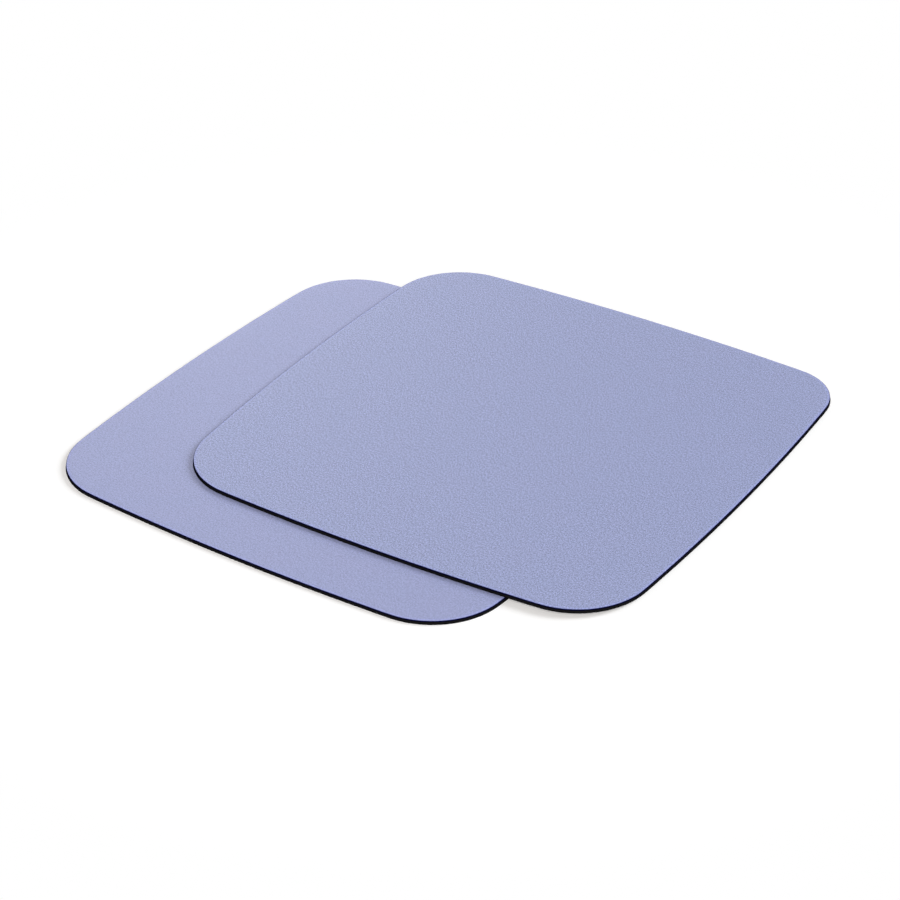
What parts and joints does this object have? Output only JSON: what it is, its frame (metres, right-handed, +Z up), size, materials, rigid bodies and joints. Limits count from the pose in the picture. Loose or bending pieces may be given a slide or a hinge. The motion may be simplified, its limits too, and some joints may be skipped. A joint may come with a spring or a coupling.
{
  "type": "mouse pad",
  "caption": "Thin cloth-topped foam mouse pad with round corners and gently bowed sides, lying partly over a matching pad that it lifts off.",
  "frame": {"origin": "centre of the lower pad's underside, on the surface that the pads lie on", "axes": "+Z up from that surface, +X to the right along the lower pad's front side, +Y from its front side to its back side"},
  "size_m": [0.2622, 0.2565, 0.0038],
  "materials": {
    "knit_cloth": "fine matt knit, lavender",
    "bond_film": "dull dark film",
    "foam_rubber": "black closed-cell foam, matt"
  },
  "bodies": {
    "lower_pad": {"lower_pad_foam_base": "foam_rubber", "lower_pad_bond_film": "bond_film", "lower_pad_cloth": "knit_cloth"},
    "upper_pad": {"upper_pad_foam_base": "foam_rubber", "upper_pad_bond_film": "bond_film", "upper_pad_cloth": "knit_cloth"}
  },
  "joints": [
    {"name": "upper_pad_lift", "type": "slide", "parent": "lower_pad", "child": "upper_pad", "axis": [0, 0, 1], "range_m": [0, 0.06]}
  ]
}
